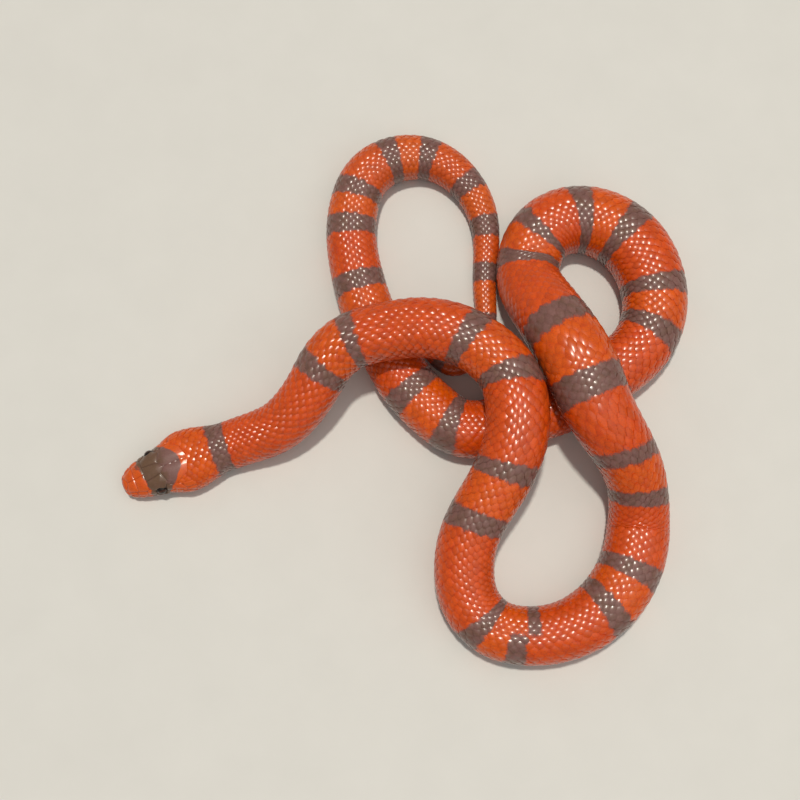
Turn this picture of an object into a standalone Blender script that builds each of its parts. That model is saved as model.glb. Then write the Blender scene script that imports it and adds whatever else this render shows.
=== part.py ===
"""A young milk snake lying in loose coils, at life size.

The body follows one smooth route over the floor: head at the left, an arch that climbs over the rear of
the body, a loop at the front, a second climb over the rear of the body, a loop at the back right, and
then the rear of the body, flat on the floor, running under both climbs to the tail. The head has its own
stations and a lower jaw, and the rest is a section swept along the route and parted into lengths.
"""
import bpy
import bmesh
import numpy as np
from math import cos, pi, radians, sin
from mathutils import Vector

# Driving dimensions, in millimetres; GAP is the clear space between neighbouring pieces
MM = 0.001
GAP = 0.3
BODY_SIDES = 24
RING_STEP = 4.6
SHARP_EDGE = radians(50)

# Middle line of the body seen from above, from the tip of the snout to the tip of the tail
ROUTE = (
    (-73.0, -25.2), (-61.0, -20.3), (-48.9, -15.6), (-40.3, -12.9), (-32.6, -10.0), (-27.5, -5.7),
    (-23.5, -0.5), (-19.9, 5.0), (-14.2, 9.6), (-5.8, 11.9), (3.0, 13.0), (11.8, 11.7), (19.5, 7.6),
    (25.1, 1.6), (27.6, -7.2), (27.0, -15.5), (24.1, -23.5), (19.7, -30.9), (16.0, -38.1),
    (14.5, -46.9), (16.3, -55.2), (22.1, -61.2), (30.5, -63.1), (40.0, -61.7), (48.5, -56.9),
    (55.1, -48.9), (58.5, -39.5), (58.8, -29.7), (56.2, -21.1), (51.6, -14.1), (47.4, -7.3),
    (44.2, 0.9), (40.0, 10.4), (35.9, 19.2), (32.8, 27.6), (32.9, 35.6), (36.4, 42.4), (43.6, 46.1),
    (52.3, 45.0), (60.1, 39.5), (64.7, 30.7), (65.5, 20.9), (61.9, 11.9), (54.1, 4.5), (44.9, -2.0),
    (34.1, -6.3), (23.5, -9.7), (14.1, -10.2), (6.7, -5.3), (0.4, 1.3), (-4.7, 9.9), (-9.0, 18.7),
    (-12.4, 28.9), (-14.5, 39.9), (-14.1, 50.3), (-10.0, 59.9), (-1.5, 64.7), (7.8, 64.1), (15.8, 58.3),
    (20.5, 49.9), (21.7, 40.5), (21.1, 30.9), (21.4, 21.3), (19.7, 11.5), (12.1, 6.3), (5.9, 10.7),
    (2.5, 18.9),
)
# Each climb: where it starts, reaches the top, leaves the top and ends along the body, and its height
CLIMBS = ((28, 80, 120, 184, 13.1), (234, 266, 278, 312, 13.3))
# Width of the body at distances from the tip of the snout
WIDTHS = (
    (0, 12.4), (27, 12.4), (43, 13.0), (60, 13.6), (76, 14.4), (92, 15.0), (110, 15.0), (126, 16.0),
    (144, 15.1), (164, 15.0), (184, 14.5), (202, 14.9), (220, 15.9), (234, 15.6), (248, 14.9),
    (260, 16.0), (272, 18.2), (284, 18.0), (300, 16.9), (320, 17.1), (342, 17.9), (370, 16.4),
    (395, 15.1), (440, 14.7), (476, 13.8), (504, 13.0), (524, 11.9), (543, 9.2), (562, 7.0),
    (580, 5.8), (598, 4.0), (612, 2.0), (622, 0.9),
)
# The section across the body: its height for its width, the height at which it is widest, how far the
# full curve of the underside would reach below that (the floor cuts it flat), and how square it is
NECK_HEIGHT_RATIO = 0.78
BODY_HEIGHT_RATIO = 0.85
FULL_HEIGHT_FROM = 62
BELLY_RISE = 0.42
BELLY_DEPTH = 0.50
SIDE_ROUNDNESS = 2.3

# Where one named length ends and the next begins
HEAD_LENGTH = 27.0
NECK_END = 60.0
VENT = 516.0
TRUNK_LENGTHS = 13
TAIL_BASE_END = 551.0
TAIL_MIDDLE_END = 588.0
TAIL_POINT = 0.5
TAIL_POINT_HEIGHT = 0.35

# Head stations: distance behind the snout, half width, height of the top, height of the underside
HEAD_SIDES = 28
HEAD_TOP_ROUNDNESS = 2.7
HEAD_STATIONS = (
    (0.0, 0.6, 3.2, 2.4), (0.1, 1.3, 3.7, 1.9), (0.4, 2.1, 4.2, 1.4), (1.2, 3.0, 4.95, 0.8),
    (2.6, 3.9, 5.75, 0.4), (5.0, 4.7, 6.7, 0.1), (8.0, 5.4, 7.6, 0.0), (10.0, 5.8, 8.0, 0.0),
    (12.0, 6.35, 8.3, 0.0), (14.0, 7.15, 8.5, 0.0), (16.0, 7.8, 8.65, 0.0), (19.0, 8.0, 8.8, 0.0),
    (23.0, 7.2, 9.2, 0.0), (27.0, 6.3, 9.67, 0.0),
)
HEAD_RINGS = (
    0.0, 0.1, 0.3, 0.6, 1.2, 2.0, 3.0, 4.2, 5.5, 7.0, 8.5, 10.0, 12.0, 14.0, 16.0, 18.0, 20.0, 22.0, 24.5,
    27.0,
)
BLUNT_SNOUT = 1.0
EYE_BACK = 9.2
EYE_OUT = 4.45
EYE_HEIGHT = 5.0
EYE_RADIUS = 1.55
NOSTRIL_BACK = 1.7
NOSTRIL_HEIGHT = 3.6
NOSTRIL_RADIUS = 0.42
NOSTRIL_SUNK = 0.1
NOSTRIL_SIDES = 8
# The line of the mouth and the rear of the jaw, seen from the side (distance behind the snout, height)
MOUTH_LINE = ((-2.0, 2.3), (1.0, 2.2), (4.5, 2.05), (8.0, 2.3), (12.0, 2.9), (16.2, 3.9))
JAW_REAR = ((17.6, 2.0), (18.4, -1.0), (-2.0, -1.0))

# Head shields: how far they stand up, the groove between them, and their outlines
CROWN_SHIELD_RISE = 0.2
SIDE_SHIELD_RISE = 0.15
GROOVE = 0.26
CROWN_SHIELD_BASE = 2.65
SIDE_SHIELD_BASE = 2.2
BEYOND_HEAD = 9.0
# Seen from above, (distance behind the snout, distance from the middle line)
MIDDLE_SHIELDS = (
    ((-0.6, -1.7), (0.9, -1.5), (1.6, 0.0), (0.9, 1.5), (-0.6, 1.7)),
    ((6.4, -1.9), (6.4, 1.9), (8.6, 1.7), (10.6, 1.4), (12.0, 0.0), (10.6, -1.4), (8.6, -1.7)),
)
PAIRED_SHIELDS = (
    ((1.6, 0.0), (0.9, 1.5), (1.1, 2.4), (3.6, 3.1), (3.6, 0.0)),
    ((3.6, 0.0), (3.6, 3.1), (5.2, 3.8), (6.4, 3.5), (6.4, 1.9), (6.4, 0.0)),
    ((6.4, 1.9), (6.4, 3.5), (7.6, 4.2), (10.3, 4.5), (11.5, 3.6), (10.6, 1.4), (8.6, 1.7)),
    ((12.0, 0.0), (10.6, 1.4), (11.5, 3.6), (14.0, 4.7), (17.0, 3.3), (18.0, 0.6), (17.6, 0.0)),
)
# Seen from the side, where the lip shields of each jaw meet along the mouth, and their heights
UPPER_LIP_JOINTS = (1.2, 2.9, 4.7, 6.9, 9.2, 11.5, 13.9, 16.4)
LOWER_LIP_JOINTS = (0.8, 2.2, 3.9, 5.7, 7.6, 9.8, 12.2, 14.6)
LIP_SHIELD_HEIGHT = 1.6
CHEEK_SHIELDS = (
    ((1.3, 3.75), (1.3, 4.4), (3.1, 4.9), (3.1, 3.75)),
    ((3.1, 3.75), (3.1, 4.9), (5.6, 5.4), (5.6, 3.85)),
    ((5.6, 3.85), (5.6, 5.4), (7.2, 5.7), (7.2, 4.0)),
    ((11.1, 4.2), (11.1, 6.6), (12.7, 6.75), (12.7, 4.6)),
    ((12.7, 4.6), (12.7, 6.75), (15.3, 7.0), (15.3, 5.2)),
    ((15.3, 5.2), (15.3, 7.0), (17.6, 7.1), (17.6, 5.6)),
)

SKIN_ORANGE = (0.62, 0.09, 0.025, 1.0)
SKIN_PALE = (0.68, 0.22, 0.10, 1.0)
EYE_DARK = (0.02, 0.012, 0.01, 1.0)
SKIN_ROUGHNESS = 0.38
EYE_ROUGHNESS = 0.08


def finish(name, colour, roughness):
    """A material of the piece's own."""
    material = bpy.data.materials.new(f"{name}_finish")
    material.use_nodes = True
    shader = material.node_tree.nodes["Principled BSDF"]
    shader.inputs["Base Color"].default_value = colour
    shader.inputs["Roughness"].default_value = roughness
    shader.inputs["Metallic"].default_value = 0.0
    return material


def object_from(bm, name, colour, roughness=SKIN_ROUGHNESS):
    """Puts a finished bmesh in the scene with its faces outward and its own material."""
    bmesh.ops.recalc_face_normals(bm, faces=bm.faces)
    mesh = bpy.data.meshes.new(name)
    bm.to_mesh(mesh)
    bm.free()
    mesh.shade_smooth()
    mesh.set_sharp_from_angle(angle=SHARP_EDGE)
    mesh.materials.append(finish(name, colour, roughness))
    thing = bpy.data.objects.new(name, mesh)
    bpy.context.collection.objects.link(thing)
    return thing


def natural_curve(knots, values):
    """Second derivatives, at the knots, of the natural cubic curve through the values."""
    steps = np.diff(knots)
    count = len(knots)
    matrix = np.eye(count)
    right = np.zeros(values.shape)
    slopes = np.diff(values, axis=0) / steps[:, None]
    for i in range(1, count - 1):
        matrix[i, i - 1] = steps[i - 1]
        matrix[i, i] = 2 * (steps[i - 1] + steps[i])
        matrix[i, i + 1] = steps[i]
        right[i] = 6 * (slopes[i] - slopes[i - 1])
    return np.linalg.solve(matrix, right)


def read_curve(knots, values, bends, u):
    """The value and the slope of a natural cubic curve."""
    i = int(np.clip(np.searchsorted(knots, u) - 1, 0, len(knots) - 2))
    step = knots[i + 1] - knots[i]
    b = (u - knots[i]) / step
    a = 1 - b
    bent = ((a ** 3 - a) * bends[i] + (b ** 3 - b) * bends[i + 1]) * step ** 2 / 6
    turned = ((3 * b * b - 1) * bends[i + 1] - (3 * a * a - 1) * bends[i]) * step / 6
    return a * values[i] + b * values[i + 1] + bent, (values[i + 1] - values[i]) / step + turned


class Route:
    """The middle line of the body as one smooth curve, read by distance from the snout."""

    def __init__(self, points):
        self.points = np.array(points, float)
        chords = np.linalg.norm(np.diff(self.points, axis=0), axis=1)
        self.knots = np.concatenate([[0.0], np.cumsum(chords)])
        self.bends = natural_curve(self.knots, self.points)
        self.fine = np.linspace(0.0, self.knots[-1], 4000)
        line = np.array([self.read(u)[0] for u in self.fine])
        self.lengths = np.concatenate([[0.0], np.cumsum(np.linalg.norm(np.diff(line, axis=0), axis=1))])
        self.length = self.lengths[-1]

    def read(self, u):
        place, along = read_curve(self.knots, self.points, self.bends, u)
        return place, along / np.linalg.norm(along)

    def at(self, distance):
        return self.read(np.interp(distance, self.lengths, self.fine))


def ramp(distance, start, end):
    share = min(max((distance - start) / (end - start), 0.0), 1.0)
    return share * share * (3 - 2 * share)


def belly_height(distance):
    return sum(
        height * ramp(distance, start, top) * (1 - ramp(distance, leave, end))
        for start, top, leave, end, height in CLIMBS
    )


def body_width(distance):
    knots, widths = np.array(WIDTHS, float).T
    return float(read_curve(knots, widths, natural_curve(knots, widths[:, None])[:, 0], distance)[0])


def body_height(distance):
    grown = ramp(distance, HEAD_LENGTH, FULL_HEIGHT_FROM)
    ratio = NECK_HEIGHT_RATIO + (BODY_HEIGHT_RATIO - NECK_HEIGHT_RATIO) * grown
    return ratio * body_width(distance)


def section(width, height, sides, top_roundness=SIDE_ROUNDNESS):
    """One outline across the body: a rounded back and a belly that is flat where it bears."""
    outline = []
    for k in range(sides):
        turn = 2 * pi * k / sides
        out = abs(sin(turn)) ** (2 / SIDE_ROUNDNESS)
        across = 0.5 * width * (out if sin(turn) >= 0 else -out)
        if cos(turn) > 0:
            sink = abs(cos(turn)) ** (2 / SIDE_ROUNDNESS)
            up = max(BELLY_RISE - BELLY_DEPTH * sink, 0.0) * height
        else:
            rise = abs(cos(turn)) ** (2 / top_roundness)
            up = (BELLY_RISE + (1 - BELLY_RISE) * rise) * height
        outline.append((across, up))
    return outline


def body_ring(route, distance, reach=0.1):
    """The outline of the body square to the route at a distance from the snout."""
    (x, y), (ahead_x, ahead_y) = route.at(distance)
    slope = (belly_height(distance + reach) - belly_height(distance - reach)) / (2 * reach)
    ahead = Vector((ahead_x, ahead_y, slope)).normalized()
    side = Vector((ahead_y, -ahead_x, 0.0)).normalized()
    up = side.cross(ahead)
    base = Vector((x, y, belly_height(distance)))
    outline = section(body_width(distance), body_height(distance), BODY_SIDES)
    return [base + side * across + up * height for across, height in outline]


def loft(name, rings, colour, pole=None):
    """A closed body through a row of rings, with flat ends or one end drawn to a pole."""
    bm = bmesh.new()
    loops = []
    for ring in rings:
        verts = bmesh.ops.create_circle(bm, segments=len(ring), radius=1.0)["verts"]
        for vert, place in zip(verts, ring):
            vert.co = Vector(place) * MM
        loops.append(verts)
    rims = [[edge for edge in bm.edges if edge.verts[0] in set(verts)] for verts in loops]
    for rim, following in zip(rims, rims[1:]):
        bmesh.ops.bridge_loops(bm, edges=rim + following)
    bm.faces.new(loops[0])
    if pole is None:
        bm.faces.new(loops[-1])
    else:
        tip = bm.verts.new(Vector(pole) * MM)
        for vert, beside in zip(loops[-1], loops[-1][1:] + loops[-1][:1]):
            bm.faces.new((vert, beside, tip))
    return object_from(bm, name, colour)


def body_length(name, route, start, end):
    """One named length of the body, with flat ends half a gap inside its limits."""
    first = start + GAP / 2
    last = end - GAP / 2
    steps = max(int(np.ceil((last - first) / RING_STEP)), 2)
    rings = [body_ring(route, first + (last - first) * k / steps) for k in range(steps + 1)]
    pole = None
    if end >= route.length:
        (x, y), (ahead_x, ahead_y) = route.at(end)
        pole = (x + TAIL_POINT * ahead_x, y + TAIL_POINT * ahead_y, TAIL_POINT_HEIGHT)
    return loft(name, rings, SKIN_ORANGE, pole)


def head_size(back):
    """Half width, top and underside of the head at a distance behind the snout."""
    table = np.array(HEAD_STATIONS, float)
    knots = np.sqrt(table[:, 0])
    sizes = table[:, 1:]
    half, top, bottom = read_curve(knots, sizes, natural_curve(knots, sizes), np.sqrt(back))[0]
    return half, top, max(bottom, 0.0)


def head_loft(name, colour, rise=0.0):
    """The whole head and jaw as one smooth form, fuller by the rise all round but underneath."""
    rings = []
    for station in HEAD_RINGS:
        back = min(station, HEAD_LENGTH - GAP / 2)
        half, top, bottom = head_size(back)
        outline = section(2 * (half + rise), top + rise - bottom, HEAD_SIDES, HEAD_TOP_ROUNDNESS)
        place = back - (rise if back < BLUNT_SNOUT else 0.0)
        rings.append([(place, across, bottom + up) for across, up in outline])
    return loft(name, rings, colour)


def shield_blocks(outlines, place, outward):
    """Blocks on the shields' outlines, drawn in by half a groove, that reach outward past the head."""
    bm = bmesh.new()
    for outline in outlines:
        bm.faces.new([bm.verts.new(Vector(place(a, b)) * MM) for a, b in outline])
    bmesh.ops.recalc_face_normals(bm, faces=bm.faces)
    rims = bmesh.ops.inset_individual(
        bm, faces=bm.faces, thickness=GROOVE / 2 * MM, depth=0.0, use_even_offset=True
    )["faces"]
    bmesh.ops.delete(bm, geom=rims, context="FACES")
    grown = bmesh.ops.extrude_face_region(bm, geom=bm.faces[:])["geom"]
    moved = [item for item in grown if isinstance(item, bmesh.types.BMVert)]
    bmesh.ops.translate(bm, verts=moved, vec=Vector(outward) * BEYOND_HEAD * MM)
    return object_from(bm, "shield_blocks", SKIN_ORANGE)


def lip_outlines(joints, low, high):
    """Lip shields between their joints, from low to high beside the line of the mouth."""
    line = np.array(MOUTH_LINE)
    outlines = []
    for front, rear in zip(joints, joints[1:]):
        mouth_front, mouth_rear = np.interp((front, rear), line[:, 0], line[:, 1])
        outlines.append((
            (front, mouth_front + low), (rear, mouth_rear + low),
            (rear, mouth_rear + high), (front, mouth_front + high),
        ))
    return outlines


def from_above(back, across):
    return back, across, CROWN_SHIELD_BASE


def from_left(back, height):
    return back, -SIDE_SHIELD_BASE, height


def from_right(back, height):
    return back, SIDE_SHIELD_BASE, height


def cut(body, cutter, operation="DIFFERENCE"):
    """Applies one Boolean to a body and removes the other piece."""
    modifier = body.modifiers.new("cut", "BOOLEAN")
    modifier.operation = operation
    modifier.solver = "EXACT"
    modifier.object = cutter
    graph = bpy.context.evaluated_depsgraph_get()
    mesh = bpy.data.meshes.new_from_object(body.evaluated_get(graph))
    mesh.materials.clear()
    mesh.materials.append(body.data.materials[0])
    mesh.set_sharp_from_angle(angle=SHARP_EDGE)
    body.modifiers.clear()
    body.data = mesh
    bpy.data.objects.remove(cutter)


def raise_shields(body, outlines, place, outward, rise):
    """Adds the shields with these outlines to the body, standing up by the rise."""
    shields = head_loft("shields", SKIN_ORANGE, rise)
    cut(shields, shield_blocks(outlines, place, outward), "INTERSECT")
    cut(body, shields, "UNION")


def ball(name, centre, radius, colour, sides=16, roughness=EYE_ROUGHNESS):
    bm = bmesh.new()
    bmesh.ops.create_uvsphere(bm, u_segments=sides, v_segments=sides // 2 + 1, radius=radius * MM)
    bmesh.ops.translate(bm, verts=bm.verts, vec=Vector(centre) * MM)
    return object_from(bm, name, colour, roughness)


def mouth_block(name, grow):
    """The space below the line of the mouth, grown by a gap where asked, right across the head."""
    upper = [(back, height + grow) for back, height in MOUTH_LINE[:-1]]
    corner_back, corner_height = MOUTH_LINE[-1]
    corner = (corner_back + grow, corner_height + grow)
    rear = [(back + grow, height) for back, height in JAW_REAR[:2]]
    outline = upper + [corner] + rear + [JAW_REAR[2]]
    bm = bmesh.new()
    verts = [bm.verts.new(Vector((back, -BEYOND_HEAD, height)) * MM) for back, height in outline]
    grown = bmesh.ops.extrude_face_region(bm, geom=[bm.faces.new(verts)])["geom"]
    moved = [item for item in grown if isinstance(item, bmesh.types.BMVert)]
    bmesh.ops.translate(bm, verts=moved, vec=Vector((0.0, 2 * BEYOND_HEAD, 0.0)) * MM)
    return object_from(bm, name, SKIN_PALE)


def make_head():
    """The head, the lower jaw and the eyes in their own straight frame, with the snout at zero."""
    head = head_loft("head", SKIN_ORANGE)
    jaw = head_loft("lower_jaw", SKIN_PALE)
    crown = list(MIDDLE_SHIELDS)
    for outline in PAIRED_SHIELDS:
        for side in (-1, 1):
            crown.append([(back, side * across) for back, across in outline])
    raise_shields(head, crown, from_above, (0.0, 0.0, 1.0), CROWN_SHIELD_RISE)
    cheek = lip_outlines(UPPER_LIP_JOINTS, -GAP, LIP_SHIELD_HEIGHT) + list(CHEEK_SHIELDS)
    lower_lip = lip_outlines(LOWER_LIP_JOINTS, -LIP_SHIELD_HEIGHT, GAP)
    for place, side in ((from_left, -1.0), (from_right, 1.0)):
        raise_shields(head, cheek, place, (0.0, side, 0.0), SIDE_SHIELD_RISE)
        raise_shields(jaw, lower_lip, place, (0.0, side, 0.0), SIDE_SHIELD_RISE)
    cut(jaw, mouth_block("jaw_space", 0.0), "INTERSECT")
    cut(head, mouth_block("mouth_space", GAP))
    eyes = []
    for name, side in (("eye_left", -1), ("eye_right", 1)):
        centre = (EYE_BACK, side * EYE_OUT, EYE_HEIGHT)
        cut(head, ball("socket", centre, EYE_RADIUS + GAP, SKIN_ORANGE))
        nostril = (NOSTRIL_BACK, side * (head_size(NOSTRIL_BACK)[0] - NOSTRIL_SUNK), NOSTRIL_HEIGHT)
        cut(head, ball("nostril", nostril, NOSTRIL_RADIUS, SKIN_ORANGE, NOSTRIL_SIDES))
        eyes.append(ball(name, centre, EYE_RADIUS, EYE_DARK))
    return [head, jaw] + eyes


def lay_on_route(piece, route):
    """Moves a piece from its own straight frame (distance behind the snout, across, up) to the route."""
    for vert in piece.data.vertices:
        back, across, up = vert.co
        (x, y), (ahead_x, ahead_y) = route.at(back / MM)
        vert.co = (x * MM - ahead_y * across, y * MM + ahead_x * across, up)


for old in list(bpy.data.objects):
    bpy.data.objects.remove(old, do_unlink=True)

route = Route(ROUTE)
for piece in make_head():
    lay_on_route(piece, route)
body_length("neck", route, HEAD_LENGTH, NECK_END)
trunk_step = (VENT - NECK_END) / TRUNK_LENGTHS
for number in range(TRUNK_LENGTHS):
    trunk_start = NECK_END + number * trunk_step
    body_length(f"trunk_{number + 1:02d}", route, trunk_start, trunk_start + trunk_step)
body_length("tail_base", route, VENT, TAIL_BASE_END)
body_length("tail_middle", route, TAIL_BASE_END, TAIL_MIDDLE_END)
body_length("tail_tip", route, TAIL_MIDDLE_END, route.length)
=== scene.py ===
"""A young milk snake lying in loose coils at life size: skin, head shields, scales, belly plates and eyes.

Lengths are in millimetres along and across the animal, and become metres where a mesh is laid out. A place
on the body is a distance behind the snout and a share of half the girth: 0 along the middle of the back and
1 along the middle of the belly. The share is plus on the right and minus on the left as one looks from the
snout to the tail, so plus is the animal's own left.
"""
from math import pi, radians

import bmesh
import bpy
import numpy as np
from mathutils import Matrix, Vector


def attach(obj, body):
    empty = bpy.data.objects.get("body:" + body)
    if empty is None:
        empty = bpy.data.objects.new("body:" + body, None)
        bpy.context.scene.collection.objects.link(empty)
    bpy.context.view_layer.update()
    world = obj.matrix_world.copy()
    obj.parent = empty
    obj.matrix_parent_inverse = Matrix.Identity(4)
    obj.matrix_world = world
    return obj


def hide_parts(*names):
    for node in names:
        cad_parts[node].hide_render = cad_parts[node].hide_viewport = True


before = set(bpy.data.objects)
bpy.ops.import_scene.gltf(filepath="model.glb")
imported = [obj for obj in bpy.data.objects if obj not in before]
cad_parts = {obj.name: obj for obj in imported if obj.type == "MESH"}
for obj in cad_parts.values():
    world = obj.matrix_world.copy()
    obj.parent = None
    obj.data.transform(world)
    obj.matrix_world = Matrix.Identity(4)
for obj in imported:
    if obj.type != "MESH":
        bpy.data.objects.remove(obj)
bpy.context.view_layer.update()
MM = 0.001

# The camera
# Looks down on the animal from thirty centimetres above, leaning twelve degrees from straight down, with the
# middle of the coils near the middle of an 800 by 800 picture.
CAMERA_PLACE = (-0.0016, -0.0678, 0.3110)
CAMERA_LEAN = radians(12)
CAMERA_LENS = 54.0
CAMERA_FILM = 36.0

camera = bpy.data.objects.new("camera", bpy.data.cameras.new("camera"))
camera.data.lens = CAMERA_LENS
camera.data.sensor_width = CAMERA_FILM
camera.data.clip_start = 0.01
camera.location = CAMERA_PLACE
camera.rotation_euler = (CAMERA_LEAN, 0.0, 0.0)
bpy.context.scene.collection.objects.link(camera)
bpy.context.scene.camera = camera

# The skin
# One elastic skin from the snout to the tip of the tail, bare on the head's shields and thin between the
# scales. It is laid on the line and the sections of the body's solids, and behind the shields it lies below
# their surface by the depth of the scales.

# Middle line of the body seen from above, from the tip of the snout to the tip of the tail
ROUTE = (
    (-73.0, -25.2), (-61.0, -20.3), (-48.9, -15.6), (-40.3, -12.9), (-32.6, -10.0), (-27.5, -5.7),
    (-23.5, -0.5), (-19.9, 5.0), (-14.2, 9.6), (-5.8, 11.9), (3.0, 13.0), (11.8, 11.7), (19.5, 7.6),
    (25.1, 1.6), (27.6, -7.2), (27.0, -15.5), (24.1, -23.5), (19.7, -30.9), (16.0, -38.1),
    (14.5, -46.9), (16.3, -55.2), (22.1, -61.2), (30.5, -63.1), (40.0, -61.7), (48.5, -56.9),
    (55.1, -48.9), (58.5, -39.5), (58.8, -29.7), (56.2, -21.1), (51.6, -14.1), (47.4, -7.3),
    (44.2, 0.9), (40.0, 10.4), (35.9, 19.2), (32.8, 27.6), (32.9, 35.6), (36.4, 42.4), (43.6, 46.1),
    (52.3, 45.0), (60.1, 39.5), (64.7, 30.7), (65.5, 20.9), (61.9, 11.9), (54.1, 4.5), (44.9, -2.0),
    (34.1, -6.3), (23.5, -9.7), (14.1, -10.2), (6.7, -5.3), (0.4, 1.3), (-4.7, 9.9), (-9.0, 18.7),
    (-12.4, 28.9), (-14.5, 39.9), (-14.1, 50.3), (-10.0, 59.9), (-1.5, 64.7), (7.8, 64.1), (15.8, 58.3),
    (20.5, 49.9), (21.7, 40.5), (21.1, 30.9), (21.4, 21.3), (19.7, 11.5), (12.1, 6.3), (5.9, 10.7),
    (2.5, 18.9),
)
# Each climb: where it starts, reaches the top, leaves the top and ends along the body, and its height
CLIMBS = ((28, 80, 120, 184, 13.1), (234, 266, 278, 312, 13.3))
# Width of the body at distances behind the snout
WIDTHS = (
    (0, 12.4), (27, 12.4), (43, 13.0), (60, 13.6), (76, 14.4), (92, 15.0), (110, 15.0), (126, 16.0),
    (144, 15.1), (164, 15.0), (184, 14.5), (202, 14.9), (220, 15.9), (234, 15.6), (248, 14.9),
    (260, 16.0), (272, 18.2), (284, 18.0), (300, 16.9), (320, 17.1), (342, 17.9), (370, 16.4),
    (395, 15.1), (440, 14.7), (476, 13.8), (504, 13.0), (524, 11.9), (543, 9.2), (562, 7.0),
    (580, 5.8), (598, 4.0), (612, 2.0), (622, 0.9),
)
NECK_HEIGHT_RATIO, BODY_HEIGHT_RATIO, FULL_HEIGHT_FROM = 0.78, 0.85, 62.0
BELLY_RISE, BELLY_DEPTH, SIDE_ROUNDNESS = 0.42, 0.50, 2.3
CROWN_ROUNDNESS, CROWN_ROUNDNESS_FADES = 2.7, (20.0, 34.0)
HEAD_LENGTH, HEAD_BLEND = 27.0, 3.0
# Distance behind the snout, half width, height of the top, height of the underside
HEAD_STATIONS = (
    (0.0, 0.6, 3.2, 2.4), (0.1, 1.3, 3.7, 1.9), (0.4, 2.1, 4.2, 1.4), (1.2, 3.0, 4.95, 0.8),
    (2.6, 3.9, 5.75, 0.4), (5.0, 4.7, 6.7, 0.1), (8.0, 5.4, 7.6, 0.0), (10.0, 5.8, 8.0, 0.0),
    (12.0, 6.35, 8.3, 0.0), (14.0, 7.15, 8.5, 0.0), (16.0, 7.8, 8.65, 0.0), (19.0, 8.0, 8.8, 0.0),
    (23.0, 7.2, 9.2, 0.0), (27.0, 6.3, 9.67, 0.0),
)
SCALE_DEPTH = 0.28
LINE_POINTS, OUTLINE_POINTS = 6200, 4001
HEAD_ALONG, HEAD_AROUND, HEAD_CLOSER_IN_FRONT, HEAD_CLOSER_ON_TOP = 215, 340, 1.3, 0.28
BODY_AROUND, BODY_STEP = 48, 1.2
SAME_PLACE, SEAM_FROM, NECK_JOINT_WITHIN = 1e-6, 0.99, 1.0
# Where the lengths of the body start on the unwrap, and the heights of the unwrap's strips
BODY_SHEETS = (HEAD_LENGTH + 0.6, 174.0, 321.0, 468.0)
HEAD_SHEET, SHEET_HEIGHT, SHEET_MARGIN = 0.36, 0.16, 0.01


def smooth_curve(knots, values):
    """A function that reads the natural cubic curve through the values at the knots."""
    knots = np.array(knots, float)
    values = np.array(values, float).reshape(len(knots), -1)
    steps = np.diff(knots)
    slopes = np.diff(values, axis=0) / steps[:, None]
    matrix = np.eye(len(knots))
    right = np.zeros(values.shape)
    for i in range(1, len(knots) - 1):
        matrix[i, i - 1:i + 2] = steps[i - 1], 2 * (steps[i - 1] + steps[i]), steps[i]
        right[i] = 6 * (slopes[i] - slopes[i - 1])
    bends = np.linalg.solve(matrix, right)

    def read(place):
        i = np.clip(np.searchsorted(knots, place) - 1, 0, len(knots) - 2)
        b = (place - knots[i]) / steps[i]
        a = 1 - b
        here, there = values[i].T, values[i + 1].T
        bend = (a ** 3 - a) * bends[i].T + (b ** 3 - b) * bends[i + 1].T
        return a * here + b * there + bend * steps[i] ** 2 / 6

    return read


def ramp(x, start, end):
    """A smooth rise from 0 at the start to 1 at the end."""
    share = np.clip((x - start) / (end - start), 0.0, 1.0)
    return share * share * (3 - 2 * share)


chords = np.linalg.norm(np.diff(np.array(ROUTE), axis=0), axis=1)
along_chords = np.concatenate([[0.0], np.cumsum(chords)])
line = smooth_curve(along_chords, ROUTE)(np.linspace(0, chords.sum(), LINE_POINTS))
line_distance = np.concatenate([[0.0], np.cumsum(np.linalg.norm(np.diff(line), axis=0))])
line_ahead = np.gradient(line, line_distance, axis=1)
BODY_LENGTH = line_distance[-1]
width_at = smooth_curve(*zip(*WIDTHS))
head_at = smooth_curve(np.sqrt([row[0] for row in HEAD_STATIONS]), [row[1:] for row in HEAD_STATIONS])


def belly_height(distance):
    """How high the belly is off the floor, which it leaves only on the climbs."""
    return sum(
        height * ramp(distance, start, top) * (1 - ramp(distance, leave, end))
        for start, top, leave, end, height in CLIMBS
    )


def sizes(distance):
    """Half width, top, underside and squareness of the back at distances behind the snout."""
    width = width_at(distance)[0]
    grown = ramp(distance, HEAD_LENGTH, FULL_HEIGHT_FROM)
    height = width * (NECK_HEIGHT_RATIO + (BODY_HEIGHT_RATIO - NECK_HEIGHT_RATIO) * grown)
    half, top, bottom = head_at(np.sqrt(np.clip(distance, 0.0, HEAD_LENGTH)))
    body = ramp(distance, HEAD_LENGTH - HEAD_BLEND, HEAD_LENGTH + HEAD_BLEND)
    rounder = ramp(distance, *CROWN_ROUNDNESS_FADES)
    square = CROWN_ROUNDNESS + (SIDE_ROUNDNESS - CROWN_ROUNDNESS) * rounder
    half = half + (width / 2 - half) * body
    return half, top + (height - top) * body, np.maximum(bottom, 0.0) * (1 - body), square


def outline(turn, half, height, square):
    """Places across and up on the outline of the body, at turns from the middle of the belly."""
    out = np.abs(np.sin(turn)) ** (2 / SIDE_ROUNDNESS) * np.sign(np.sin(turn))
    fall = np.abs(np.cos(turn))
    low = np.maximum(BELLY_RISE - BELLY_DEPTH * fall ** (2 / SIDE_ROUNDNESS), 0.0)
    high = BELLY_RISE + (1 - BELLY_RISE) * fall ** (2 / square)
    return half * out, height * np.where(np.cos(turn) > 0, low, high)


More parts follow.
